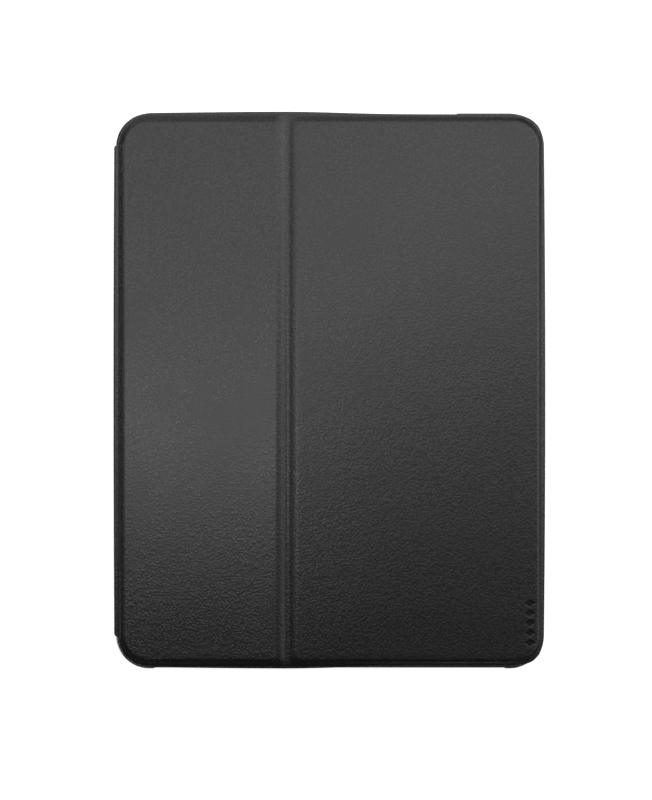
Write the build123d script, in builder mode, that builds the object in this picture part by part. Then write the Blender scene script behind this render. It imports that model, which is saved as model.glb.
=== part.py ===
from build123d import *
from math import cos, radians, sin, sqrt
import os

# A folio case for a 12.9 inch class tablet, closed and lying on its back. All sizes are in millimetres.
# +X points to the free edge of the cover, +Y to the top of the tablet, +Z out of the front cover.
# The origin is the middle of the closed case's footprint, on the surface that the case lies on.

# the tablet that the tray holds
tablet_width = 214.9
tablet_length = 280.6
tablet_thickness = 6.4
tablet_fit = 0.2  # air between the tablet and a wall, each side
glass_fit = 0.1  # air between the glass and the underside of the lip

# the moulded tray
tray_wall = 1.8
tray_floor = 1.2
tray_corner = 17.0
tray_bottom_round = 2.0
tray_top_round = 1.4
side_inset = 0.7  # of the short sides between the corners, which stand out as bumpers
bumper_length = 19.4  # along the short sides
bumper_slope = 0.6
lip_height = 0.8
lip_reach = 1.6
floor_pad_thickness = 0.3
floor_pad_inset = 0.5

# the layered sheets of the cover
leather = 0.7
lining = 0.4
front_board = 1.0
back_board_thickness = 0.8
bond = 0.2
board_clearance = 0.1  # around a board or a metal piece in its pocket

# the cover's outline against the tray
cover_overhang = 0.9  # past the tray at the free edge
cover_inset = 0.5  # inside the tray at the two short sides
cover_corner = 17.0
cover_gap = 0.3  # between the tray's lip and the cover's lining
free_rim = 3.6  # from the free edge to the wide board
side_rim = 4.0  # from the short sides to the boards
crease_rim = 7.4  # from the spine's outer face to the narrow board
narrow_board_width = 77.3
fold_gap = 8.7  # between the two boards
fold_band = 4.5  # the bare strip in the middle of that gap, which bends
fold_corner = 3.0  # corner radius of the boards beside the fold
pad_lead = 0.3  # how far the raised top reaches past its board
pad_slope = 45.0  # degrees, the side of the raised top

# the spine
stiffener = 0.4
spine_gap = 0.3  # between the spine's lining and the tray's wall
spine_stand_out = 1.2  # past the tray's side
spine_end_gap = 0.3  # in the tray's recess, at each end of the spine
spine_from_end = 16.8  # from the tray's short sides to the spine's ends
crease_radius = 1.6
crease_axis = 0.9  # from the leather's outer faces to the line that a crease bends about
crease_run = 2.7  # from the spine's outer face to the edge of the front and back sheets
spine_low_run = 2.6  # from the back's outer face up to the spine
spine_high_run = 1.9  # from the cover's rim down to the spine

# the back
back_inset = 2.0
back_rim = 5.0  # from the tray's side to the back board
board_notch_margin = 2.0  # of bare tray around the camera window
stand_plate_width = 14.0
stand_plate_from_end = 17.3  # from the back board's ends
stand_plate_thickness = 0.4
stand_angle = 65.0  # degrees, between the back and the narrow panel when the case stands

# openings in the tray
camera_opening = 38.0
camera_corner = 9.0
camera_trim_wall = 1.2
camera_margin = 3.8  # from the tablet's sides to the trim around the window
port_length = 16.0
port_height = 6.0
speaker_length = 26.0
speaker_height = 2.6
speaker_from_middle = 62.0
stylus_gap = 172.0
stylus_from_button = 8.8
stylus_sill = 1.0  # of wall left standing above the tray's floor
stylus_corner = 2.5

# buttons
button_height = 3.0
button_fit = 0.15
button_proud = 0.45  # above the scoop around it
button_scoop = 0.5
button_scoop_margin = 3.0  # at each end
button_scoop_rim = 1.0  # above and below
button_web = 0.4  # wall left at the bottom of the scoop
button_flange = 0.4
button_flange_margin = 1.0
button_seat_gap = 0.05
power_length = 18.0
power_from_corner = 30.0
power_block_margin = 2.0  # of full wall beside the power button's scoop
volume_length = 11.0
volume_up_from_corner = 26.0
volume_down_from_corner = 42.0

# magnets in the wide board
magnet_thickness = 0.8
magnet_width = 5.0
magnet_length = 20.0
magnet_from_edge = 6.0
magnet_from_end = 37.8  # from the board's ends to the outer magnets' middles
magnet_from_middle = 40.0
wake_magnet_radius = 4.0
wake_magnet_from_edge = 30.0
wake_magnet_from_side = 16.0

# where the tray is
tray_width = tablet_width + 2 * (tablet_fit + tray_wall)
tray_length = tablet_length + 2 * (tablet_fit + tray_wall)
tray_x = (spine_stand_out - cover_overhang) / 2
tray_left = tray_x - tray_width / 2
tray_right = tray_x + tray_width / 2
tray_half = tray_length / 2

# heights, from the outer face of the back
tray_bottom = leather
board_top = leather + back_board_thickness
floor_bottom = board_top + bond
floor_top = floor_bottom + tray_floor
tablet_bottom = floor_top + floor_pad_thickness
lip_bottom = tablet_bottom + tablet_thickness + glass_fit
lip_top = lip_bottom + lip_height
lining_bottom = lip_top + cover_gap
lining_top = lining_bottom + lining
rim_top = lining_top + leather
tablet_middle = tablet_bottom + tablet_thickness / 2

# places across the cover
spine_outer = tray_left - spine_stand_out
spine_inner = spine_outer + leather + stiffener + lining
cover_right = tray_right + cover_overhang
cover_half = tray_half - cover_inset
sheet_left = spine_outer + crease_run
narrow_board_left = spine_outer + crease_rim
narrow_board_right = narrow_board_left + narrow_board_width
wide_board_left = narrow_board_right + fold_gap
wide_board_right = cover_right - free_rim
fold_x = (narrow_board_right + wide_board_left) / 2
board_half = cover_half - side_rim
board_corner = cover_corner - side_rim
fold_left = fold_x - fold_band / 2
fold_right = fold_x + fold_band / 2
spine_half = tray_half - spine_from_end
spine_low = spine_low_run
spine_high = rim_top - spine_high_run
outer_magnet = board_half - magnet_from_end
magnet_places = (-outer_magnet, -magnet_from_middle, magnet_from_middle, outer_magnet)
magnet_x = wide_board_right - magnet_from_edge
wake_x = wide_board_right - wake_magnet_from_side
wake_y = board_half - wake_magnet_from_edge
stand_plate_length = 2 * (tray_half - back_rim - stand_plate_from_end)

# the buttons, and the stylus gap below those of the free-edge side
power_x = tray_right - power_from_corner
volume_up_y = tray_half - volume_up_from_corner
volume_down_y = tray_half - volume_down_from_corner
stylus_top = volume_down_y - volume_length / 2 - stylus_from_button

# when the case stands, the spine and the narrow panel make a foot, square to each other, and the
# wide panel leans back from the fold until its free edge meets the back, where the steel strip is
spine_height = rim_top - 2 * crease_axis
panel_reach = fold_x - spine_outer - crease_axis
strut_reach = cover_right - fold_x
foot_x = spine_outer + crease_axis - spine_height * sin(radians(stand_angle))
fold_drop = panel_reach * sin(radians(stand_angle)) + spine_height * cos(radians(stand_angle))
stand_plate_x = (
    foot_x + panel_reach * cos(radians(stand_angle)) + sqrt(strut_reach**2 - fold_drop**2)
)

# the camera window
camera_inward = tray_wall + tablet_fit + camera_margin + camera_trim_wall + camera_opening / 2
camera_x = tray_right - camera_inward
camera_y = tray_half - camera_inward
camera_hole = camera_opening + 2 * (camera_trim_wall + board_clearance)
camera_hole_corner = camera_corner + camera_trim_wall + board_clearance
board_notch = camera_hole + 2 * board_notch_margin


def grown(outline, amount):
    """An outline grown on every side, its round corners with it."""
    left, right, half_length, left_corner, right_corner = outline
    return (
        left - amount,
        right + amount,
        half_length + amount,
        left_corner + amount if left_corner else 0,
        right_corner + amount if right_corner else 0,
    )


def panel_face(height, outline):
    """A flat rectangle whose left and right corners may be round."""
    left, right, half_length, left_corner, right_corner = outline
    with BuildSketch(Plane.XY.offset(height)) as face:
        with Locations(((left + right) / 2, 0)):
            Rectangle(right - left, 2 * half_length)
        if left_corner:
            fillet(face.vertices().group_by(Axis.X)[0], left_corner)
        if right_corner:
            fillet(face.vertices().group_by(Axis.X)[-1], right_corner)
    return face.sketch


def window_face(height, size, corner):
    """The square of the camera window, with round corners."""
    with BuildSketch(Plane.XY.offset(height)) as face:
        with Locations((camera_x, camera_y)):
            RectangleRounded(size, size, corner)
    return face.sketch


def strip_face(height, middle_x, width, length):
    """A plain rectangle centred on the X axis."""
    with BuildSketch(Plane.XY.offset(height)) as face:
        with Locations((middle_x, 0)):
            Rectangle(width, length)
    return face.sketch


def crease_face(side_x, flat_z, thickness, radius, side_end, flat_end):
    """The bent strip of a crease, from a side strip's end round to a flat sheet's edge."""
    inward = thickness if side_end > flat_z else -thickness
    outer = [(side_x, side_end), (side_x, flat_z), (flat_end, flat_z)]
    inner = [
        (side_x + thickness, side_end),
        (side_x + thickness, flat_z + inward),
        (flat_end, flat_z + inward),
    ]
    with BuildSketch(Plane.XZ) as face:
        with BuildLine():
            FilletPolyline(*outer, radius=radius)
            FilletPolyline(*inner, radius=radius - thickness)
            Line(outer[0], inner[0])
            Line(outer[-1], inner[-1])
        make_face()
    return face.sketch


def finish(piece, name):
    """Labels a finished piece and writes it to its own file."""
    piece.part.label = name
    export_step(piece.part, f"parts/{name}.step")


# outlines: left, right, half length, left corner radius, right corner radius
tray_outline = (tray_left, tray_right, tray_half, tray_corner, tray_corner)
back_outline = (
    sheet_left,
    tray_right - back_inset,
    tray_half - back_inset,
    tray_corner - back_inset,
    tray_corner - back_inset,
)
back_board_outline = grown(tray_outline, -back_rim)
narrow_sheet = (sheet_left, fold_left, cover_half, cover_corner, 0)
narrow_outline = (narrow_board_left, narrow_board_right, board_half, board_corner, fold_corner)
wide_sheet = (fold_right, cover_right, cover_half, 0, cover_corner)
wide_outline = (wide_board_left, wide_board_right, board_half, fold_corner, board_corner)

os.makedirs("parts", exist_ok=True)


# the back: leather, board, steel strip, and the sheet that bonds the tray to them

with BuildPart() as back_skin:
    extrude(panel_face(0, back_outline), amount=leather)
    extrude(window_face(0, camera_hole, camera_hole_corner), amount=leather, mode=Mode.SUBTRACT)
finish(back_skin, "back_skin")

with BuildPart() as back_board:
    extrude(panel_face(leather, back_board_outline), amount=back_board_thickness)
    extrude(
        window_face(leather, board_notch, camera_hole_corner),
        amount=back_board_thickness,
        mode=Mode.SUBTRACT,
    )
    plate_pocket = strip_face(
        leather,
        stand_plate_x,
        stand_plate_width + 2 * board_clearance,
        stand_plate_length + 2 * board_clearance,
    )
    extrude(plate_pocket, amount=stand_plate_thickness, mode=Mode.SUBTRACT)
finish(back_board, "back_board")

with BuildPart() as stand_plate:
    extrude(
        strip_face(leather, stand_plate_x, stand_plate_width, stand_plate_length),
        amount=stand_plate_thickness,
    )
finish(stand_plate, "stand_plate")

with BuildPart() as bond_sheet:
    extrude(panel_face(board_top, back_board_outline), amount=bond)
    extrude(window_face(board_top, board_notch, camera_hole_corner), amount=bond, mode=Mode.SUBTRACT)
finish(bond_sheet, "bond_sheet")


# planes on the tray's sides, with their normals pointing out


def short_wall_plane(middle, side):
    """A plane on the outside of the top wall (side 1) or the bottom wall (side -1)."""
    return Plane(
        origin=(middle, side * tray_half, tablet_middle), x_dir=(1, 0, 0), z_dir=(0, side, 0)
    )


power_plane = short_wall_plane(power_x, 1)
volume_up_plane, volume_down_plane = [
    Plane(origin=(tray_right, middle, tablet_middle), x_dir=(0, 1, 0), z_dir=(1, 0, 0))
    for middle in (volume_up_y, volume_down_y)
]
buttons = {
    "power_button": (power_plane, power_length),
    "volume_up_button": (volume_up_plane, volume_length),
    "volume_down_button": (volume_down_plane, volume_length),
}
flange_depth = button_scoop + button_web  # where the wider recess behind a button starts


def slot_face(plane, length, height):
    """A slot with round ends, on a plane."""
    with BuildSketch(plane) as face:
        SlotOverall(length, height)
    return face.sketch


def block_face(plane, length, height):
    """A rectangle on a plane."""
    with BuildSketch(plane) as face:
        Rectangle(length, height)
    return face.sketch


def cut_button(plane, length):
    """A scoop in the wall, the window for the cap, and the recess for the flange."""
    scoop = slot_face(plane, length + 2 * button_scoop_margin, button_height + 2 * button_scoop_rim)
    extrude(scoop, amount=-button_scoop, mode=Mode.SUBTRACT)
    window = slot_face(
        plane.offset(-button_scoop), length + 2 * button_fit, button_height + 2 * button_fit
    )
    extrude(window, amount=-button_web, mode=Mode.SUBTRACT)
    margin = button_flange_margin + 2 * button_fit
    recess = block_face(plane.offset(-flange_depth), length + 2 * margin, button_height + 2 * margin)
    extrude(recess, amount=flange_depth - tray_wall, mode=Mode.SUBTRACT)


with BuildPart() as tray_shell:
    extrude(panel_face(tray_bottom, tray_outline), amount=lip_top - tray_bottom)
    fillet(tray_shell.faces().sort_by(Axis.Z)[0].edges(), tray_bottom_round)
    fillet(tray_shell.faces().sort_by(Axis.Z)[-1].edges(), tray_top_round)

    # the cavity, and the opening inside the lip
    cavity = panel_face(floor_top, grown(tray_outline, -tray_wall))
    extrude(cavity, amount=lip_bottom - floor_top, mode=Mode.SUBTRACT)
    lip_edge = tray_wall + lip_reach
    extrude(
        panel_face(lip_bottom, grown(tray_outline, -lip_edge)), amount=lip_height, mode=Mode.SUBTRACT
    )

    # underneath, the shallow seat of the board and its bond, all but the camera's corner
    seat = panel_face(tray_bottom, grown(back_board_outline, board_clearance))
    corner = window_face(
        tray_bottom, board_notch - 2 * board_clearance, camera_hole_corner - board_clearance
    )
    extrude(seat - corner, amount=floor_bottom - tray_bottom, mode=Mode.SUBTRACT)

    # the short sides stand back between the bumpers, but not beside the power button
    inset_left = tray_left + bumper_length
    power_block = power_x - power_length / 2 - button_scoop_margin - power_block_margin
    for side, inset_right in ((-1, tray_right - bumper_length), (1, power_block)):
        with BuildSketch(Plane.XY.offset(tray_bottom)) as inset:
            with Locations(((inset_left + inset_right) / 2, side * tray_half)):
                Rectangle(inset_right - inset_left, 2 * side_inset)
            chamfer(inset.vertices().group_by(Axis.Y)[-1 if side < 0 else 0], bumper_slope)
        extrude(amount=lip_top - tray_bottom, mode=Mode.SUBTRACT)

    # the recess that the spine closes into
    recess_depth = spine_inner + spine_gap - tray_left
    spine_recess = strip_face(
        tray_bottom, tray_left + recess_depth / 2, recess_depth, 2 * (spine_half + spine_end_gap)
    )
    extrude(spine_recess, amount=lip_top - tray_bottom, mode=Mode.SUBTRACT)

    # the camera window
    extrude(
        window_face(tray_bottom, camera_hole, camera_hole_corner),
        amount=floor_top - tray_bottom,
        mode=Mode.SUBTRACT,
    )

    # the charging port and the speakers, through the short walls
    for side in (-1, 1):
        for middle in (tray_x - speaker_from_middle, tray_x + speaker_from_middle):
            slot = slot_face(short_wall_plane(middle, side), speaker_length, speaker_height)
            extrude(slot, amount=-tray_wall, mode=Mode.SUBTRACT)
    port = slot_face(short_wall_plane(tray_x, -1), port_length, port_height)
    extrude(port, amount=-tray_wall, mode=Mode.SUBTRACT)

    # the open stretch of the free-edge wall, where a stylus clings to the tablet
    sill = floor_top + stylus_sill
    with BuildSketch(Plane.YZ.offset(tray_right)) as stylus_opening:
        with Locations((stylus_top - stylus_gap / 2, sill + lip_top / 2)):
            Rectangle(stylus_gap, lip_top)
        fillet(stylus_opening.vertices().group_by(Axis.Z)[0], stylus_corner)
    extrude(amount=-lip_edge, mode=Mode.SUBTRACT)

    for plane, length in buttons.values():
        cut_button(plane, length)
finish(tray_shell, "tray_shell")

with BuildPart() as floor_pad:
    pad = panel_face(floor_top, grown(tray_outline, -tray_wall - floor_pad_inset))
    extrude(pad, amount=floor_pad_thickness)
    extrude(
        window_face(floor_top, camera_hole, camera_hole_corner),
        amount=floor_pad_thickness,
        mode=Mode.SUBTRACT,
    )
finish(floor_pad, "floor_pad")

with BuildPart() as camera_trim:
    trim_size = camera_opening + 2 * camera_trim_wall
    extrude(window_face(0, trim_size, camera_corner + camera_trim_wall), amount=tablet_bottom)
    extrude(
        window_face(0, camera_opening, camera_corner), amount=tablet_bottom, mode=Mode.SUBTRACT
    )
finish(camera_trim, "camera_trim")

for name, (plane, length) in buttons.items():
    with BuildPart() as button:
        cap_top = button_proud - button_scoop
        flange_top = flange_depth + button_seat_gap
        extrude(
            slot_face(plane.offset(cap_top), length, button_height), amount=-(flange_top + cap_top)
        )
        flange = block_face(
            plane.offset(-flange_top),
            length + 2 * button_flange_margin,
            button_height + 2 * button_flange_margin,
        )
        extrude(flange, amount=-button_flange)
    finish(button, name)


# the spine's three layers, standing upright, and the creases along its long sides

spine_layers = {
    "spine_skin": (spine_outer, leather),
    "spine_stiffener": (spine_outer + leather, stiffener),
    "spine_lining": (spine_inner - lining, lining),
}
for name, (layer_x, thickness) in spine_layers.items():
    with BuildPart() as layer:
        extrude(
            strip_face(spine_low, layer_x + thickness / 2, thickness, 2 * spine_half),
            amount=spine_high - spine_low,
        )
    finish(layer, name)

# side of the spine, flat of the sheet, thickness, outer radius, end at the spine
creases = {
    "back_crease": (spine_outer, 0, leather, crease_radius, spine_low),
    "front_crease": (spine_outer, rim_top, leather, crease_radius, spine_high),
    "front_crease_lining": (
        spine_inner - lining, lining_top, lining, crease_radius - leather, spine_high
    ),
}
for name, bend in creases.items():
    with BuildPart() as crease:
        extrude(crease_face(*bend, sheet_left), amount=spine_half, both=True)
    finish(crease, name)


# the front cover: two stiff panels, and the fold between them


def skin_with_pad(sheet, board):
    """The leather of a panel: a flat rim, and a raised top with sloping sides over its board."""
    extrude(panel_face(lining_top, sheet), amount=leather)
    foot = grown(board, pad_lead + front_board)
    extrude(panel_face(rim_top, foot), amount=front_board, taper=pad_slope)
    pocket = panel_face(lining_top, grown(board, board_clearance))
    extrude(pocket, amount=front_board, mode=Mode.SUBTRACT)


for name, sheet, board in (
    ("narrow_skin", narrow_sheet, narrow_outline),
    ("wide_skin", wide_sheet, wide_outline),
):
    with BuildPart() as skin:
        skin_with_pad(sheet, board)
    finish(skin, name)

with BuildPart() as narrow_board:
    extrude(panel_face(lining_top, narrow_outline), amount=front_board)
finish(narrow_board, "narrow_board")


def magnet_faces(clearance):
    """The magnets in the wide board: four bars along the free edge, and a disc that wakes the tablet."""
    with BuildSketch(Plane.XY.offset(lining_top)) as bars:
        with Locations(*[(magnet_x, y) for y in magnet_places]):
            Rectangle(magnet_width + 2 * clearance, magnet_length + 2 * clearance)
    with BuildSketch(Plane.XY.offset(lining_top)) as disc:
        with Locations((wake_x, wake_y)):
            Circle(wake_magnet_radius + clearance)
    return bars.sketch, disc.sketch


with BuildPart() as wide_board:
    extrude(panel_face(lining_top, wide_outline), amount=front_board)
    for face in magnet_faces(board_clearance):
        extrude(face, amount=magnet_thickness, mode=Mode.SUBTRACT)
finish(wide_board, "wide_board")

for name, face in zip(("closure_magnets", "wake_magnet"), magnet_faces(0)):
    with BuildPart() as magnets:
        extrude(face, amount=magnet_thickness)
    finish(magnets, name)

fold_strip = (fold_left, fold_right, cover_half, 0, 0)
flat_sheets = {
    "narrow_lining": (lining_bottom, narrow_sheet, lining),
    "wide_lining": (lining_bottom, wide_sheet, lining),
    "fold_lining": (lining_bottom, fold_strip, lining),
    "fold_skin": (lining_top, fold_strip, leather),
}
for name, (height, outline, thickness) in flat_sheets.items():
    with BuildPart() as sheet:
        extrude(panel_face(height, outline), amount=thickness)
    finish(sheet, name)
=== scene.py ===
import math
from functools import partial

import bpy
import numpy as np
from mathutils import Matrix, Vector
from mathutils.geometry import delaunay_2d_cdt


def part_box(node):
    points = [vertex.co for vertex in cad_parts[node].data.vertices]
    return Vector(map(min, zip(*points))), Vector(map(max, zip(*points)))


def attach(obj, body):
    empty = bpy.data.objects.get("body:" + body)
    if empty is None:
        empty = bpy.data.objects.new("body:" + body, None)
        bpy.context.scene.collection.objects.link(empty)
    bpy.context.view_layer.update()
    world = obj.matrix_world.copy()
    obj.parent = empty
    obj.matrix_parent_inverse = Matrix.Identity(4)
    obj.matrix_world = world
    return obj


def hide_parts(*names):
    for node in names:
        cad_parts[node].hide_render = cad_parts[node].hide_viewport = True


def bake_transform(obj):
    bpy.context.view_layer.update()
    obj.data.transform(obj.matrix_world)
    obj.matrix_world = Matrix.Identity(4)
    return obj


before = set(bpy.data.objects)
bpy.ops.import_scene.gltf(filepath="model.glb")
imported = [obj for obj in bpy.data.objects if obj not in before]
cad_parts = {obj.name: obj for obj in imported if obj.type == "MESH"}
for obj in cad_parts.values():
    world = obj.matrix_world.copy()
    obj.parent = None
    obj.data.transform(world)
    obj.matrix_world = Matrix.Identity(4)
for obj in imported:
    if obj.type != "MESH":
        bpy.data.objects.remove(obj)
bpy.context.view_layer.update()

# The folio case lies closed on its back. The frame is in metres: +X to the free edge of the cover,
# +Y to the top of the tablet, +Z out of the front cover.
mm = 0.001

# places that the frame gives
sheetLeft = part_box("narrow_skin")[0].x
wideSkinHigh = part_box("wide_skin")[1]
foldLow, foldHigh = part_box("fold_skin")
narrowBoardLow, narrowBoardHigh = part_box("narrow_board")
wideBoardLow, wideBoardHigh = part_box("wide_board")
spineLow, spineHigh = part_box("spine_skin")
spineLiningLow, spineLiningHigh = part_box("spine_lining")
backLow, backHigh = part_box("back_skin")
backBoardLow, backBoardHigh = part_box("back_board")
padLow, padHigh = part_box("floor_pad")
trimLow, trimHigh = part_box("camera_trim")

coverRight = wideSkinHigh.x
coverHalf = wideSkinHigh.y
rimTop = foldHigh.z
liningTop = foldLow.z
foldX = (foldLow.x + foldHigh.x) / 2
windowX = (trimLow.x + trimHigh.x) / 2
windowY = (trimLow.y + trimHigh.y) / 2
windowHalf = (trimHigh.x - trimLow.x) / 2
windowCorner = 10.2 * mm


# small helpers for node trees, for shapes and for materials alike

def newTree(name, kind, inputs, outputs):
    # inputs and outputs: {label: default value, or the socket's type}
    tree = bpy.data.node_groups.new(name, kind)
    for way, sockets in (("INPUT", inputs), ("OUTPUT", outputs)):
        for label, value in sockets.items():
            typeName = value if isinstance(value, str) else "NodeSocketFloat"
            socket = tree.interface.new_socket(label, in_out=way, socket_type=typeName)
            if not isinstance(value, str):
                socket.default_value = value
    return tree


def feed(socket, value):
    if isinstance(value, bpy.types.NodeSocket):
        socket.id_data.links.new(value, socket)
    elif value is not None:
        socket.default_value = value


def newNode(values, kind):
    # in the tree of the first value that is a socket
    tree = next(value.id_data for value in values if isinstance(value, bpy.types.NodeSocket))
    return tree.nodes.new(kind)


def mathOf(operation, *values):
    node = newNode(values, "ShaderNodeMath")
    node.operation = operation
    for socket, value in zip(node.inputs, values):
        feed(socket, value)
    return node.outputs[0]


plus = partial(mathOf, "ADD")
minus = partial(mathOf, "SUBTRACT")
times = partial(mathOf, "MULTIPLY")
over = partial(mathOf, "DIVIDE")
timesPlus = partial(mathOf, "MULTIPLY_ADD")
lesser = partial(mathOf, "MINIMUM")
greater = partial(mathOf, "MAXIMUM")
sizeOf = partial(mathOf, "ABSOLUTE")


def vectorOf(operation, *values):
    node = newNode(values, "ShaderNodeVectorMath")
    node.operation = operation
    for socket, value in zip(node.inputs, values):
        feed(socket, value)
    return node.outputs["Value" if operation in ("LENGTH", "DOT_PRODUCT") else "Vector"]


def rampOf(value, lowFrom, highFrom, lowTo=0.0, highTo=1.0, interpolation="SMOOTHSTEP"):
    node = newNode([value], "ShaderNodeMapRange")
    node.interpolation_type = interpolation
    for index, item in enumerate((value, lowFrom, highFrom, lowTo, highTo)):
        feed(node.inputs[index], item)
    return node.outputs[0]


def noiseOf(place, scale, detail=2.0, roughness=0.5, distortion=0.0):
    node = newNode([place], "ShaderNodeTexNoise")
    feed(node.inputs["Vector"], place)
    for label, value in (("Scale", scale), ("Detail", detail), ("Roughness", roughness)):
        feed(node.inputs[label], value)
    node.inputs["Distortion"].default_value = distortion
    return node.outputs["Fac"]


def groupOf(group, **values):
    # values are given by label, with _ for a space
    node = newNode(values.values(), group.bl_idname.replace("Tree", "Group"))
    node.node_tree = group
    for label, value in values.items():
        feed(node.inputs[label.replace("_", " ")], value)
    return node


def endsOf(tree):
    return tree.nodes.new("NodeGroupInput").outputs, tree.nodes.new("NodeGroupOutput").inputs


# the rule that shapes every sheet: flat outlines in, a pressed and rolled sheet out

# signed distance to a rectangle whose left and right corners may be round, negative inside
distanceGroup = newTree(
    "outlineDistance",
    "GeometryNodeTree",
    {"X": 0.0, "Y": 0.0, "Left": 0.0, "Right": 0.0, "Half": 0.0, "Left Corner": 0.0, "Right Corner": 0.0},
    {"Distance": 0.0},
)


def buildDistance(tree):
    source, sink = endsOf(tree)
    middle = times(plus(source["Left"], source["Right"]), 0.5)
    halfWidth = times(minus(source["Right"], source["Left"]), 0.5)
    fromMiddle = minus(source["X"], middle)
    isRight = mathOf("GREATER_THAN", fromMiddle, 0.0)
    corner = rampOf(isRight, 0.0, 1.0, source["Left Corner"], source["Right Corner"], "LINEAR")
    overX = minus(sizeOf(fromMiddle), minus(halfWidth, corner))
    overY = minus(sizeOf(source["Y"]), minus(source["Half"], corner))
    outX = greater(overX, 0.0)
    outY = greater(overY, 0.0)
    outside = mathOf("SQRT", plus(times(outX, outX), times(outY, outY)))
    inside = lesser(greater(overX, overY), 0.0)
    feed(sink["Distance"], minus(plus(outside, inside), corner))


buildDistance(distanceGroup)

sheetInputs = {
    "Left": 0.0,
    "Right": 0.0,
    "Half": 0.0,
    "Left Corner": 0.0,
    "Right Corner": 0.0,
    "Base Height": 0.0,  # of the hidden face
    "Direction": 1.0,  # 1 up, -1 down
    "Thickness": 0.7 * mm,
    "Edge Roll": 0.35 * mm,
    "Line Inset": 1.0 * mm,
    "Line Depth": 0.0,
    "Rim Fall": 0.0,
    "Rim Width": 3.4 * mm,
    "Narrow Left": 0.0,
    "Narrow Right": 0.0,
    "Wide Left": 0.0,
    "Wide Right": 0.0,
    "Board Half": 0.0,
    "Outer Board Corner": 13.0 * mm,
    "Fold Board Corner": 3.0 * mm,
    "Pad Height": 1.0 * mm,
    "Slope Out": 1.8 * mm,
    "Slope In": 1.0 * mm,
    "Fold Slope Out": 3.2 * mm,
    "Crown": 0.0,
    "Waviness": 0.0,
    "Wave Scale": 18.0,
    "Crease Depth": 0.0,
    "Crease Width": 0.9 * mm,
    "Crease Half": 126.0 * mm,
    "Flare": 0.0,
    "Flare Left": 86.0 * mm,
    "Flare Right": 37.0 * mm,
    "Fold Place": 0.0,
    "Fold Depth": 0.0,  # of the extra groove pressed along the fold
    "Fold Reach": 3.2 * mm,
    "Draw In": 0.0,  # of the short sides away from the fold
    "Bow": 0.0,
    "Shift": 0.0,  # of both short sides towards the top
    "Window X": 1.0,
    "Window Y": 1.0,
    "Window Half": 1.0 * mm,
    "Window Corner": 0.5 * mm,
    "Mark X": 0.0,
    "Mark First": 0.0,
    "Mark Pitch": 1.0,
    "Mark Count": 0.0,
    "Mark Half Width": 1.0 * mm,
    "Mark Half Length": 1.0 * mm,
    "Mark Depth": 0.0,
    "Lean": 0.0,  # the slope that the narrow board reaches at the fold, as the light shows it
}
sheetTree = newTree(
    "pressedSheet",
    "GeometryNodeTree",
    {"Geometry": "NodeSocketGeometry", **sheetInputs, "Material": "NodeSocketMaterial"},
    {"Geometry": "NodeSocketGeometry"},
)


def storeFloat(geometry, name, value):
    node = newNode([geometry], "GeometryNodeStoreNamedAttribute")
    node.data_type = "FLOAT"
    node.domain = "POINT"
    feed(node.inputs["Geometry"], geometry)
    node.inputs["Name"].default_value = name
    feed(node.inputs["Value"], value)
    return node.outputs["Geometry"]


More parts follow.
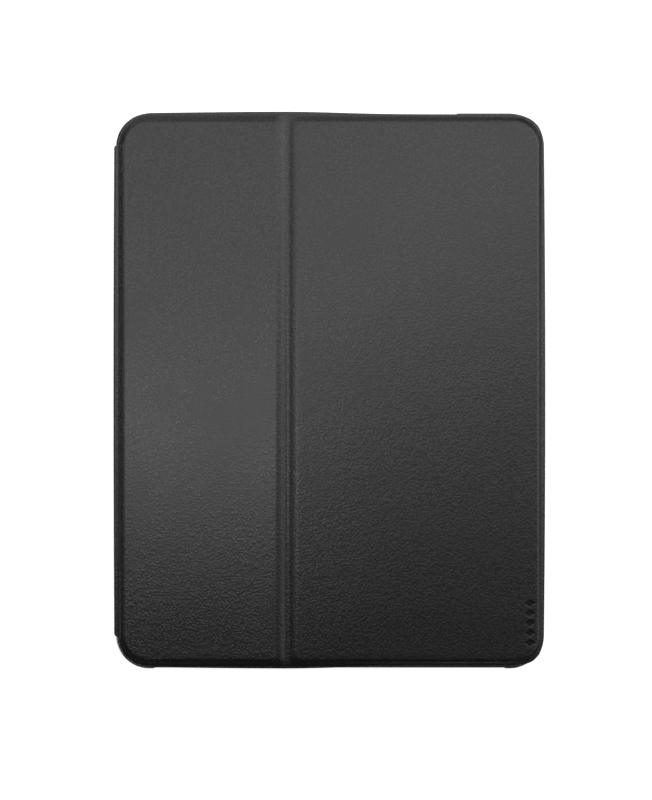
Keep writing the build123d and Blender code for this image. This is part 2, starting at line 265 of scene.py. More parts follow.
def buildSheet(tree):
    source, sink = endsOf(tree)
    position = tree.nodes.new("GeometryNodeInputPosition").outputs[0]
    split = tree.nodes.new("ShaderNodeSeparateXYZ")
    feed(split.inputs[0], position)
    x, y = split.outputs["X"], split.outputs["Y"]
    upperNode = tree.nodes.new("GeometryNodeInputNamedAttribute")
    upperNode.data_type = "FLOAT"
    upperNode.inputs["Name"].default_value = "outer"
    outer = upperNode.outputs["Attribute"]

    def pick(*labels):
        return [source[label] for label in labels]

    def distanceTo(*sides, at=(x, y)):
        # sides: left, right, half length, left corner and right corner
        labels = ("X", "Y", "Left", "Right", "Half", "Left Corner", "Right Corner")
        return groupOf(distanceGroup, **dict(zip(labels, (*at, *sides)))).outputs["Distance"]

    edge = distanceTo(*pick("Left", "Right", "Half", "Left Corner", "Right Corner"))
    windowEdge = distanceTo(
        times(source["Window Half"], -1.0),
        *pick("Window Half", "Window Half", "Window Corner", "Window Corner"),
        at=(minus(x, source["Window X"]), minus(y, source["Window Y"])),
    )
    edge = greater(edge, times(windowEdge, -1.0))

    # beside the spine the sheet goes on in another piece, so its edge isn't rolled there
    seamEnd = source["Crease Half"]
    alongSpine = rampOf(sizeOf(y), minus(seamEnd, 0.4 * mm), plus(seamEnd, 0.4 * mm), 1.0, 0.0)
    besideSpine = times(alongSpine, mathOf("LESS_THAN", x, plus(source["Left"], 3 * mm)))
    hasCrease = mathOf("GREATER_THAN", source["Crease Half"], 1 * mm)
    besideSpine = times(besideSpine, hasCrease)

    # the rolled edge: a quarter circle
    rollRadius = source["Edge Roll"]
    awayFromSpine = minus(1.0, besideSpine)
    intoRoll = times(greater(plus(edge, rollRadius), 0.0), awayFromSpine)
    under = greater(minus(times(rollRadius, rollRadius), times(intoRoll, intoRoll)), 0.0)
    roll = minus(rollRadius, mathOf("SQRT", under))
    # the line pressed along the edge
    fromLine = plus(edge, source["Line Inset"])
    lineShape = rampOf(sizeOf(fromLine), 0.0, 0.4 * mm, 1.0, 0.0)
    line = times(lineShape, source["Line Depth"])
    # the rim falls a little towards its edge
    rimStart = times(source["Rim Width"], -1.0)
    fall = rampOf(edge, rimStart, 0.0, 0.0, source["Rim Fall"], "LINEAR")
    line = times(plus(line, fall), awayFromSpine)

    # the raised tops over the boards
    slopeIn = times(source["Slope In"], -1.0)
    nearFold, pastFold = 3 * mm, 0.4 * mm
    foldReach = rampOf(
        x,
        minus(source["Narrow Right"], nearFold),
        plus(source["Narrow Right"], pastFold),
        *pick("Slope Out", "Fold Slope Out"),
    )
    wideReach = rampOf(
        x,
        minus(source["Wide Left"], pastFold),
        plus(source["Wide Left"], nearFold),
        *pick("Fold Slope Out", "Slope Out"),
    )
    narrow = distanceTo(
        *pick("Narrow Left", "Narrow Right", "Board Half", "Outer Board Corner", "Fold Board Corner")
    )
    wide = distanceTo(
        *pick("Wide Left", "Wide Right", "Board Half", "Fold Board Corner", "Outer Board Corner")
    )
    narrowRise = rampOf(narrow, foldReach, slopeIn)
    wideRise = rampOf(wide, wideReach, slopeIn)
    rise = greater(narrowRise, wideRise)
    nearest = lesser(narrow, wide)
    crown = times(source["Crown"], rampOf(nearest, 0.0, -36 * mm))
    raised = plus(times(rise, source["Pad Height"]), crown)

    # soft waves of a sheet bonded by hand
    waves = noiseOf(position, source["Wave Scale"], 1.5, 0.4)
    waves = times(minus(waves, 0.32), source["Waviness"])
    raised = plus(raised, times(waves, rise))

    # the groove beside the spine
    creaseEnd = plus(source["Left"], source["Crease Width"])
    creaseShape = rampOf(x, source["Left"], creaseEnd, source["Crease Depth"], 0.0)
    crease = times(creaseShape, besideSpine)

    # the row of small pressed lozenges
    along = over(minus(y, source["Mark First"]), source["Mark Pitch"])
    lastMark = minus(source["Mark Count"], 1.0)
    step = lesser(greater(mathOf("ROUND", along), 0.0), lastMark)
    offY = times(minus(along, step), source["Mark Pitch"])
    offX = minus(x, source["Mark X"])
    shareX = over(sizeOf(offX), source["Mark Half Width"])
    shareY = over(sizeOf(offY), source["Mark Half Length"])
    fromMark = plus(shareX, shareY)
    stamped = rampOf(fromMark, 1.1, 0.78, 0.0, 1.0)
    stamped = times(stamped, mathOf("GREATER_THAN", source["Mark Count"], 0.5))
    mark = times(stamped, source["Mark Depth"])

    # the groove along the fold
    fromFold = minus(x, source["Fold Place"])
    groove = rampOf(sizeOf(fromFold), source["Fold Reach"], 0.0, 0.0, source["Fold Depth"])

    pressed = plus(plus(roll, line), plus(crease, mark))
    pressed = plus(pressed, groove)
    outerHeight = minus(plus(source["Thickness"], raised), pressed)
    height = rampOf(outer, 0.0, 1.0, raised, outerHeight, "LINEAR")
    newZ = plus(source["Base Height"], times(source["Direction"], height))

    # the outline: longest at the fold, drawn in elsewhere, and bowed along the free edge
    isWide = mathOf("GREATER_THAN", fromFold, 0.0)
    spread = rampOf(isWide, 0.0, 1.0, source["Flare Left"], source["Flare Right"], "LINEAR")
    ratio = over(fromFold, spread)
    bell = mathOf("EXPONENT", times(times(ratio, ratio), -1.0))
    grow = minus(times(bell, source["Flare"]), source["Draw In"])
    # the boards stay where they are, so only the rim around them is drawn in
    rimReach = plus(source["Board Half"], 0.4 * mm)
    inRim = rampOf(sizeOf(y), rimReach, source["Half"], 0.0, 1.0, "LINEAR")
    newY = plus(y, times(times(mathOf("SIGN", y), inRim), grow))
    newY = plus(newY, times(inRim, source["Shift"]))
    share = over(y, source["Half"])
    freeReach = plus(source["Wide Right"], 0.3 * mm)
    nearFree = rampOf(x, freeReach, source["Right"], 0.0, 1.0, "LINEAR")
    bow = times(times(times(share, share), nearFree), source["Bow"])
    newX = minus(x, bow)

    join = tree.nodes.new("ShaderNodeCombineXYZ")
    for socket, value in zip(join.inputs, (newX, newY, newZ)):
        feed(socket, value)

    # what the materials read: worn ridges, stamped marks, and a height whose slope is the board's lean
    padEdge = rampOf(sizeOf(plus(nearest, 0.5 * mm)), 0.0, 1.1 * mm, 1.0, 0.0)
    rollEdge = rampOf(edge, -1.0 * mm, -0.1 * mm)
    wear = greater(times(padEdge, 0.7), rollEdge)
    across = minus(source["Fold Place"], source["Left"])
    leanEnd = minus(source["Narrow Right"], 1.5 * mm)
    fromSpine = minus(lesser(x, leanEnd), source["Left"])
    lean = over(times(fromSpine, fromSpine), across)
    lean = times(lean, times(source["Lean"], 0.5))
    geometry = storeFloat(source["Geometry"], "wear", wear)
    geometry = storeFloat(geometry, "stamped", stamped)
    geometry = storeFloat(geometry, "lean", lean)

    place = tree.nodes.new("GeometryNodeSetPosition")
    feed(place.inputs["Geometry"], geometry)
    feed(place.inputs["Position"], join.outputs[0])
    realize = tree.nodes.new("GeometryNodeRealizeInstances")
    feed(realize.inputs["Geometry"], place.outputs[0])
    finishIt = tree.nodes.new("GeometryNodeSetMaterial")
    feed(finishIt.inputs["Geometry"], realize.outputs[0])
    feed(finishIt.inputs["Material"], source["Material"])
    feed(sink["Geometry"], finishIt.outputs[0])


buildSheet(sheetTree)
print("node trees for the shapes are built")


def keepPlace(piece):
    # the rest place of every point, which the materials' patterns follow
    mesh = piece.data
    places = np.zeros(len(mesh.vertices) * 3, np.float32)
    mesh.vertices.foreach_get("co", places)
    attribute = mesh.attributes.new("restPlace", "FLOAT_VECTOR", "POINT")
    attribute.data.foreach_set("vector", places)


def runTree(piece, tree, values):
    # gives the modifier its values, and puts its result in the piece's own mesh
    modifier = piece.modifiers.new(tree.name, "NODES")
    modifier.node_group = tree
    for item in tree.interface.items_tree:
        if item.in_out == "INPUT" and item.name in values:
            modifier[item.identifier] = values[item.name]
    seen = piece.evaluated_get(bpy.context.evaluated_depsgraph_get())
    made = bpy.data.meshes.new_from_object(seen)
    piece.modifiers.clear()
    old = piece.data
    piece.data = made
    made.name = piece.name
    bpy.data.meshes.remove(old)
    keepPlace(piece)


def meshPiece(name, points, faces, smooth=True):
    mesh = bpy.data.meshes.new(name)
    mesh.from_pydata([tuple(p) for p in points], [], faces)
    mesh.polygons.foreach_set("use_smooth", [smooth] * len(mesh.polygons))
    mesh.update()
    piece = bpy.data.objects.new(name, mesh)
    bpy.context.scene.collection.objects.link(piece)
    return piece


# flat outlines, as points in the plane

def roundLoop(left, right, half, leftCorner, rightCorner, grow=0.0, step=2.6 * mm, dense=()):
    # anticlockwise from the bottom left corner. A loop grown or shrunk keeps the same stations.
    # dense: extra stations on the two short sides, as places along x
    xLeft, xRight = left + leftCorner, right - rightCorner
    count = max(2, round((xRight - xLeft) / step))
    stations = sorted(set(np.round(np.linspace(xLeft, xRight, count + 1), 6)) | set(dense))
    sideCounts = [max(2, round(2 * (half - corner) / step)) for corner in (rightCorner, leftCorner)]
    points = []

    def arc(middleX, middleY, corner, start, steps):
        radius = max(corner + grow, 0.02 * mm)
        for i in range(1, steps):
            angle = start + math.pi / 2 * i / steps
            points.append((middleX + radius * math.cos(angle), middleY + radius * math.sin(angle)))

    def cornerSteps(corner):
        return max(5, round(corner * math.pi / 2 / (1.0 * mm)))

    points += [(x, -half - grow) for x in stations]
    arc(xRight, -half + rightCorner, rightCorner, -math.pi / 2, cornerSteps(rightCorner))
    ys = np.linspace(-half + rightCorner, half - rightCorner, sideCounts[0] + 1)
    points += [(right + grow, y) for y in ys]
    arc(xRight, half - rightCorner, rightCorner, 0, cornerSteps(rightCorner))
    points += [(x, half + grow) for x in reversed(stations)]
    arc(xLeft, half - leftCorner, leftCorner, math.pi / 2, cornerSteps(leftCorner))
    ys = np.linspace(half - leftCorner, -half + leftCorner, sideCounts[1] + 1)
    points += [(left - grow, y) for y in ys]
    arc(xLeft, -half + leftCorner, leftCorner, math.pi, cornerSteps(leftCorner))
    return points


def outlineDistance(points, left, right, half, leftCorner, rightCorner):
    p = np.array(points, float).reshape(-1, 2)
    middle, halfWidth = (left + right) / 2, (right - left) / 2
    corner = np.where(p[:, 0] > middle, rightCorner, leftCorner)
    overX = np.abs(p[:, 0] - middle) - (halfWidth - corner)
    overY = np.abs(p[:, 1]) - (half - corner)
    outside = np.hypot(np.maximum(overX, 0), np.maximum(overY, 0))
    return outside + np.minimum(np.maximum(overX, overY), 0) - corner


def gridPoints(left, right, half, step):
    xs = np.arange(left + step / 2, right, step)
    ys = np.arange(-half + step / 2, half, step)
    return [(x, y) for x in xs for y in ys]


def insideLoops(loops, points):
    # even-odd test for a region with holes
    state = np.zeros(len(points), bool)
    for loop in loops:
        for (ax, ay), (bx, by) in zip(loop, np.roll(loop, -1, axis=0)):
            if ay == by:
                continue
            crosses = (ay > points[:, 1]) != (by > points[:, 1])
            at = ax + (points[:, 1] - ay) * (bx - ax) / (by - ay)
            state ^= crosses & (points[:, 0] < at)
    return state


def doubleSheet(name, outline, holes, loops, loose):
    # triangulates a flat region, and doubles it into a closed sheet with an outer and a hidden face
    points, edges = [], []
    for loop in [outline, *holes, *loops]:
        first = len(points)
        points += loop
        ring = list(range(first, len(points)))
        edges += list(zip(ring, ring[1:] + ring[:1]))
    points += loose
    flat, _, triangles = delaunay_2d_cdt([Vector(p) for p in points], edges, [], 0, 1e-7, True)[:3]
    flat = np.array([tuple(p) for p in flat])
    centres = np.array([flat[list(t)].mean(axis=0) for t in triangles])
    keep = insideLoops([np.array(loop) for loop in (outline, *holes)], centres)
    triangles = [list(t) for t, k in zip(triangles, keep) if k]
    corners = flat[np.array(triangles)]
    turn = np.cross(corners[:, 1] - corners[:, 0], corners[:, 2] - corners[:, 0])
    triangles = [t if c > 0 else t[::-1] for t, c in zip(triangles, turn)]
    used = sorted({i for t in triangles for i in t})
    renumber = {old: new for new, old in enumerate(used)}
    flat = flat[used]
    triangles = [[renumber[i] for i in t] for t in triangles]
    count = len(flat)
    # open edges of the region, in the direction of their triangle
    seen = dict.fromkeys(side for t in triangles for side in zip(t, t[1:] + t[:1]))
    walls = [(a, b) for a, b in seen if (b, a) not in seen]
    faces = triangles + [[i + count for i in t[::-1]] for t in triangles]
    faces += [[b, a, a + count, b + count] for a, b in walls]
    both = [(p[0], p[1], 0.0) for p in flat] * 2
    piece = meshPiece(name, both, faces)
    outerFace = piece.data.attributes.new("outer", "FLOAT", "POINT")
    outerFace.data.foreach_set("value", [1.0] * count + [0.0] * count)
    return piece


# materials: first the effects that several of them share, each a group that is built once

def grainTree():
    # pebbled leather: domed cells with fine creases between them, and slow changes over the hide
    tree = newTree(
        "leatherGrain",
        "ShaderNodeTree",
        {"Place": "NodeSocketVector", "Pebble Size": 1.3 * mm, "Depth": 0.04 * mm, "Patch Size": 40 * mm},
        {"Height": 0.0, "Valley": 0.0, "Patch": 0.0},
    )
    source, sink = endsOf(tree)
    scale = over(1.0, source["Pebble Size"])
    warp = tree.nodes.new("ShaderNodeTexNoise")
    feed(warp.inputs["Vector"], source["Place"])
    feed(warp.inputs["Scale"], times(scale, 0.6))
    drift = vectorOf("SUBTRACT", warp.outputs["Color"], (0.5, 0.5, 0.5))
    scaled = tree.nodes.new("ShaderNodeVectorMath")
    scaled.operation = "SCALE"
    feed(scaled.inputs[0], drift)
    feed(scaled.inputs["Scale"], times(source["Pebble Size"], 1.3))
    place = vectorOf("ADD", source["Place"], scaled.outputs["Vector"])
    cells = tree.nodes.new("ShaderNodeTexVoronoi")
    cells.feature = "SMOOTH_F1"
    feed(cells.inputs["Vector"], place)
    feed(cells.inputs["Scale"], scale)
    cells.inputs["Smoothness"].default_value = 0.35
    valley = rampOf(cells.outputs["Distance"], 0.3, 0.62)
    fine = noiseOf(source["Place"], times(scale, 2.6), 3.0, 0.6)
    wrinkle = noiseOf(source["Place"], times(scale, 0.32), 3.0, 0.55)
    height = times(minus(1.0, valley), 0.55)
    height = timesPlus(fine, 0.45, height)
    height = timesPlus(wrinkle, 1.1, height)
    feed(sink["Height"], times(height, source["Depth"]))
    feed(sink["Valley"], valley)
    patchScale = over(1.0, source["Patch Size"])
    feed(sink["Patch"], rampOf(noiseOf(source["Place"], patchScale, 3.0, 0.55), 0.3, 0.7))
    return tree


def mouldTree():
    # the fine spark texture of a moulded face, with slow changes in its polish
    tree = newTree(
        "mouldedTexture",
        "ShaderNodeTree",
        {"Place": "NodeSocketVector", "Speck Size": 0.25 * mm, "Depth": 0.004 * mm},
        {"Height": 0.0, "Polish": 0.0},
    )
    source, sink = endsOf(tree)
    scale = over(1.0, source["Speck Size"])
    specks = noiseOf(source["Place"], scale, 2.0, 0.6)
    feed(sink["Height"], times(specks, source["Depth"]))
    slow = noiseOf(source["Place"], times(scale, 0.012), 3.0, 0.6)
    feed(sink["Polish"], rampOf(slow, 0.3, 0.7))
    return tree


def napTree():
    # the brushed nap of microfibre: short fibres that lie in slowly turning directions
    tree = newTree(
        "microfibreNap",
        "ShaderNodeTree",
        {"Place": "NodeSocketVector", "Fibre Size": 0.35 * mm, "Depth": 0.05 * mm},
        {"Height": 0.0, "Brushed": 0.0, "Fibre": 0.0},
    )
    source, sink = endsOf(tree)
    scale = over(1.0, source["Fibre Size"])
    stretch = tree.nodes.new("ShaderNodeMapping")
    feed(stretch.inputs["Vector"], source["Place"])
    stretch.inputs["Rotation"].default_value = (0, 0, 0.5)
    stretch.inputs["Scale"].default_value = (1.0, 0.35, 1.0)
    fibre = noiseOf(stretch.outputs["Vector"], scale, 3.0, 0.65, 0.6)
    brushed = noiseOf(source["Place"], times(scale, 0.022), 3.0, 0.55, 0.4)
    feed(sink["Height"], times(fibre, source["Depth"]))
    feed(sink["Brushed"], rampOf(brushed, 0.35, 0.65))
    feed(sink["Fibre"], rampOf(fibre, 0.3, 0.7))
    return tree


def wearTree():
    # where a ridge is rubbed: the ridge mask, broken up
    tree = newTree(
        "edgeWear",
        "ShaderNodeTree",
        {"Place": "NodeSocketVector", "Ridge": 0.0, "Break Size": 3 * mm, "Amount": 0.5},
        {"Mask": 0.0},
    )
    source, sink = endsOf(tree)
    breaks = noiseOf(source["Place"], over(1.0, source["Break Size"]), 4.0, 0.65)
    shape = times(source["Ridge"], rampOf(breaks, 0.3, 0.7))
    feed(sink["Mask"], times(shape, source["Amount"]))
    return tree


leatherGrain = grainTree()
mouldedTexture = mouldTree()
microfibreNap = napTree()
edgeWear = wearTree()


def newMaterial(name, roughness=0.5, metallic=0.0, sheen=0.0, viewColor=(0.02, 0.02, 0.02)):
    material = bpy.data.materials.new(name)
    material.use_nodes = True
    material.diffuse_color = (*viewColor, 1)
    shader = material.node_tree.nodes["Principled BSDF"]
    shader.inputs["Roughness"].default_value = roughness
    shader.inputs["Metallic"].default_value = metallic
    shader.inputs["Sheen Weight"].default_value = sheen
    return material, material.node_tree, shader


def placeOf(tree, follows):
    # a pattern follows the points' rest places on a soft piece, and the object's own elsewhere
    if follows:
        node = tree.nodes.new("ShaderNodeAttribute")
        node.attribute_name = "restPlace"
        return node.outputs["Vector"]
    return tree.nodes.new("ShaderNodeTexCoord").outputs["Object"]


def attributeOf(tree, name):
    node = tree.nodes.new("ShaderNodeAttribute")
    node.attribute_name = name
    return node.outputs["Fac"]


def colorOf(factor, first, second):
    node = newNode([factor], "ShaderNodeMix")
    node.data_type = "RGBA"
    feed(node.inputs["Factor"], factor)
    for index, color in ((6, first), (7, second)):
        feed(node.inputs[index], color if isinstance(color, bpy.types.NodeSocket) else (*color, 1))
    return node.outputs[2]


def bumpOf(shader, height, coated=False):
    node = newNode([height], "ShaderNodeBump")
    node.inputs["Distance"].default_value = 1.0
    feed(node.inputs["Height"], height)
    feed(shader.inputs["Normal"], node.outputs[0])
    if coated:
        feed(shader.inputs["Coat Normal"], node.outputs[0])


coverLeather = {
    # the darkest colour: the hide's own dark patches, and painted shade in the grain's valleys
    "darkToneAndShade": (0.0025, 0.0025, 0.0026),
    "face": (0.0068, 0.0068, 0.0070),
    "rubbed": (0.012, 0.012, 0.0124),
    "roughLow": 0.22,
    "roughHigh": 0.30,
    "gloss": 1.0,  # of the finish on the domes; the valleys have less
    "valleyGloss": 0.80,
    "pebble": 1.15 * mm,
    "depth": 0.062 * mm,
}


def leatherMaterial(name, values):
    material, tree, shader = newMaterial(name)
    shader.inputs["Specular IOR Level"].default_value = 0.2
    shader.inputs["Coat Roughness"].default_value = 0.24
    place = placeOf(tree, True)
    grain = groupOf(leatherGrain, Place=place, Pebble_Size=values["pebble"], Depth=values["depth"])
    wear = groupOf(edgeWear, Place=place, Ridge=attributeOf(tree, "wear"), Amount=0.5)
    # the grain's valleys are painted darker, as painted shade in the creases; the slow patches are the hide's
    # own tone
    tone = timesPlus(grain.outputs["Valley"], -0.35, 0.7)
    tone = timesPlus(grain.outputs["Patch"], 0.3, tone)
    color = colorOf(tone, values["darkToneAndShade"], values["face"])
    color = colorOf(wear.outputs["Mask"], color, values["rubbed"])
    feed(shader.inputs["Base Color"], color)
    rough = rampOf(grain.outputs["Patch"], 0.0, 1.0, values["roughHigh"], values["roughLow"], "LINEAR")
    rough = timesPlus(grain.outputs["Valley"], 0.06, rough)
    rough = timesPlus(wear.outputs["Mask"], -0.12, rough)
    feed(shader.inputs["Roughness"], rough)
    gloss = rampOf(grain.outputs["Valley"], 0.0, 1.0, values["gloss"], values["valleyGloss"], "LINEAR")
    # the stamped lozenges are duller
    dull = timesPlus(attributeOf(tree, "stamped"), -0.85, 1.0)
    feed(shader.inputs["Coat Weight"], times(gloss, dull))
    height = plus(grain.outputs["Height"], attributeOf(tree, "lean"))
    bumpOf(shader, height, coated=True)
    return material


frontLeather = leatherMaterial("blackCoverLeather", coverLeather)


def liningMaterial():
    material, tree, shader = newMaterial("charcoalMicrofibre", roughness=0.9, sheen=0.35)
    shader.inputs["Sheen Roughness"].default_value = 0.45
    place = placeOf(tree, True)
    nap = groupOf(microfibreNap, Place=place, Fibre_Size=0.4 * mm, Depth=0.05 * mm)
    shade = times(nap.outputs["Brushed"], 0.22)
    shade = timesPlus(nap.outputs["Fibre"], 0.75, shade)
    color = colorOf(shade, (0.018, 0.018, 0.020), (0.048, 0.048, 0.051))
    wear = groupOf(edgeWear, Place=place, Ridge=attributeOf(tree, "wear"), Amount=0.6)
    color = colorOf(wear.outputs["Mask"], color, (0.075, 0.075, 0.078))
    feed(shader.inputs["Base Color"], color)
    feed(shader.inputs["Roughness"], rampOf(nap.outputs["Brushed"], 0.0, 1.0, 0.95, 0.8, "LINEAR"))
    bumpOf(shader, nap.outputs["Height"])
    return material


microfibre = liningMaterial()


def mouldedMaterial(name, dark, light, roughLow, roughHigh, speck, depth, stretch=None, **finish):
    material, tree, shader = newMaterial(name, **finish)
    place = placeOf(tree, False)
    if stretch:
        brushing = newNode([place], "ShaderNodeMapping")
        feed(brushing.inputs["Vector"], place)
        brushing.inputs["Scale"].default_value = stretch
        place = brushing.outputs["Vector"]
    mould = groupOf(mouldedTexture, Place=place, Speck_Size=speck, Depth=depth)
    feed(shader.inputs["Base Color"], colorOf(mould.outputs["Polish"], dark, light))
    rough = rampOf(mould.outputs["Polish"], 0.0, 1.0, roughLow, roughHigh, "LINEAR")
    feed(shader.inputs["Roughness"], rough)
    bumpOf(shader, mould.outputs["Height"])
    return material


# dark and light colour, lowest and highest roughness, and the size and depth of the mould's specks
plastics = {
    "blackTrayPlastic": ((0.010, 0.010, 0.0105), (0.016, 0.016, 0.0165), 0.11, 0.18, 0.28 * mm, 0.004 * mm),
    "satinTrimPlastic": ((0.012, 0.012, 0.0125), (0.018, 0.018, 0.019), 0.26, 0.34, 0.28 * mm, 0.002 * mm),
    "satinButtonPlastic": ((0.014, 0.014, 0.0145), (0.021, 0.021, 0.022), 0.28, 0.38, 0.28 * mm, 0.003 * mm),
}
trayPlastic, trimPlastic, buttonPlastic = (mouldedMaterial(name, *look) for name, look in plastics.items())


def fibreMaterial(name, dark, light):
    # pressed board, with fibres
    material, tree, shader = newMaterial(name, roughness=0.85, viewColor=light)
    place = placeOf(tree, False)
    nap = groupOf(microfibreNap, Place=place, Fibre_Size=0.9 * mm, Depth=0.02 * mm)
    color = colorOf(nap.outputs["Fibre"], dark, light)
    feed(shader.inputs["Base Color"], color)
    feed(shader.inputs["Roughness"], rampOf(nap.outputs["Brushed"], 0.0, 1.0, 0.8, 0.92, "LINEAR"))
    bumpOf(shader, nap.outputs["Height"])
    return material


boardFibre = fibreMaterial("pressedBoard", (0.24, 0.21, 0.18), (0.38, 0.35, 0.30))
darkFibre = fibreMaterial("blackPressedBoard", (0.010, 0.010, 0.010), (0.022, 0.022, 0.022))
filmDark, filmLight = (0.60, 0.60, 0.57), (0.72, 0.72, 0.69)
bondFilm = mouldedMaterial(
    "bondFilm", filmDark, filmLight, 0.35, 0.55, 0.8 * mm, 0.01 * mm, viewColor=(0.7, 0.7, 0.68)
)
brushed = {"speck": 0.15 * mm, "depth": 0.002 * mm, "stretch": (1.0, 0.04, 1.0), "metallic": 1.0}
steelDark, steelLight = (0.42, 0.43, 0.45), (0.56, 0.57, 0.59)
nickelDark, nickelLight = (0.55, 0.55, 0.56), (0.66, 0.66, 0.67)
standSteel = mouldedMaterial(
    "brushedStandSteel", steelDark, steelLight, 0.28, 0.42, viewColor=steelLight, **brushed
)
magnetNickel = mouldedMaterial(
    "platedMagnet", nickelDark, nickelLight, 0.18, 0.3, viewColor=nickelLight, **brushed
)
print("materials are built")

nodeFinishes = {
    "tray_shell": (trayPlastic, "tray_plastic"),
    "camera_trim": (trimPlastic, "trim_plastic"),
    "power_button": (buttonPlastic, "button_plastic"),
    "volume_up_button": (buttonPlastic, "button_plastic"),
    "volume_down_button": (buttonPlastic, "button_plastic"),
    "back_board": (boardFibre, "board"),
    "narrow_board": (boardFibre, "board"),
    "wide_board": (boardFibre, "board"),
    "spine_stiffener": (darkFibre, "board"),
    "bond_sheet": (bondFilm, "bond"),
    "stand_plate": (standSteel, "steel"),
    "closure_magnets": (magnetNickel, "magnet"),
    "wake_magnet": (magnetNickel, "magnet"),
}
for nodeName, (finish, slotName) in nodeFinishes.items():
    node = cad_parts[nodeName]
    for slot in node.material_slots:
        slot.material = finish


# the front cover's leather: one sheet over both boards and the fold between them

frontSheet = {
    "Left": sheetLeft,
    "Right": coverRight,
    "Half": coverHalf,
    "Left Corner": 17 * mm,
    "Right Corner": 17 * mm,
    "Base Height": liningTop,
    "Thickness": rimTop - liningTop,
    "Edge Roll": 0.35 * mm,
    "Line Inset": 1.0 * mm,
    "Line Depth": 0.05 * mm,
    "Rim Fall": 0.34 * mm,
    "Narrow Left": narrowBoardLow.x - 2.2 * mm,
    "Narrow Right": narrowBoardHigh.x,
    "Wide Left": wideBoardLow.x,
    "Wide Right": wideBoardHigh.x,
    "Board Half": wideBoardHigh.y,
    "Outer Board Corner": 13 * mm,
    "Fold Board Corner": 3 * mm,
    "Pad Height": wideSkinHigh.z - rimTop,
    "Slope Out": 2.7 * mm,
    "Slope In": 1.4 * mm,
    "Fold Slope Out": 4.3 * mm,
    "Crown": 0.12 * mm,
    "Waviness": 0.25 * mm,
    "Wave Scale": 17.0,
    "Crease Depth": 0.62 * mm,
    "Crease Width": 1.6 * mm,
    "Crease Half": 126.3 * mm,
    "Flare": 1.3 * mm,
    "Flare Left": 86 * mm,
    "Flare Right": 37 * mm,
    "Draw In": 0.8 * mm,
    "Fold Place": foldX,
    "Fold Depth": 0.3 * mm,
    "Bow": 0.9 * mm,
    "Shift": 0.4 * mm,
    "Mark X": 102.3 * mm,
    "Mark First": -128.6 * mm,
    "Mark Pitch": 5.05 * mm,
    "Mark Count": 5.0,
    "Mark Half Width": 2.75 * mm,
    "Mark Half Length": 2.05 * mm,
    "Mark Depth": 0.45 * mm,
    "Lean": 0.095,
    "Material": frontLeather,
}
foldStations = [float(x) for x in np.round(foldX + np.arange(-3, 3.01, 0.5) * mm, 6)]


def outlineOf(values, inset=0.0, dense=()):
    sides = [values[label] for label in ("Left", "Right", "Half", "Left Corner", "Right Corner")]
    return roundLoop(*sides, -inset, dense=dense)


def boardOutlines(values):
    # left, right, half length, left corner and right corner of the two raised tops
    fold, outer = values["Fold Board Corner"], values["Outer Board Corner"]
    return [
        (values["Narrow Left"], values["Narrow Right"], values["Board Half"], outer, fold),
        (values["Wide Left"], values["Wide Right"], values["Board Half"], fold, outer),
    ]


def boardLoops(values, offsets):
    return [roundLoop(*board, offset) for board in boardOutlines(values) for offset in offsets]


def lozengeLoops(values, scales):
    loops = []
    for i in range(int(values["Mark Count"])):
        middle = values["Mark First"] + i * values["Mark Pitch"]
        for scale in scales:
            a, b = scale * values["Mark Half Width"], scale * values["Mark Half Length"]
            tips = [(a, 0), (0, b), (-a, 0), (0, -b)]
            ring = []
            for (ax, ay), (bx, by) in zip(tips, tips[1:] + tips[:1]):
                for t in np.linspace(0, 1, 6, endpoint=False):
                    ring.append((values["Mark X"] + ax + (bx - ax) * t, middle + ay + (by - ay) * t))
            loops.append(ring)
    return loops


def awayFromMarks(points, values, clearX=3.6 * mm, clearY=3.2 * mm):
    low = values["Mark First"] - clearY
    high = values["Mark First"] + (values["Mark Count"] - 1) * values["Mark Pitch"] + clearY
    return [p for p in points if not (abs(p[0] - values["Mark X"]) < clearX and low < p[1] < high)]


def boardFill(values, step, slopeIn=1.4 * mm):
    points = []
    for board in boardOutlines(values):
        grid = gridPoints(*board[:3], step)
        points += [p for p, d in zip(grid, outlineDistance(grid, *board)) if d < -slopeIn - step / 3]
    return points


def grooveFill(halfLength, step=2.2 * mm):
    xs = foldX + np.arange(-2.0, 2.01, 0.5) * mm
    ys = np.arange(-halfLength, halfLength + step / 2, step)
    return [(x, y) for x in xs for y in ys]


edgeInsets = [v * mm for v in (0.05, 0.12, 0.22, 0.35, 0.6, 0.8, 1.0, 1.25)]
slopeOffsets = [v * mm for v in (-1.4, -1.1, -0.8, -0.5, -0.2, 0.1, 0.4, 0.7, 1.0, 1.4, 1.8, 2.2)]
cover = doubleSheet(
    "coverLeather",
    outlineOf(frontSheet, dense=foldStations),
    [],
    [outlineOf(frontSheet, inset, dense=foldStations) for inset in edgeInsets]
    + boardLoops(frontSheet, slopeOffsets)
    + lozengeLoops(frontSheet, (1.18, 1.08, 0.98, 0.88, 0.78, 0.66)),
    awayFromMarks(boardFill(frontSheet, 3 * mm), frontSheet) + grooveFill(coverHalf - 2.2 * mm),
)
runTree(cover, sheetTree, frontSheet)
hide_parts("narrow_skin", "fold_skin", "wide_skin")
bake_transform(cover)
print("cover leather:", len(cover.data.vertices), "points")

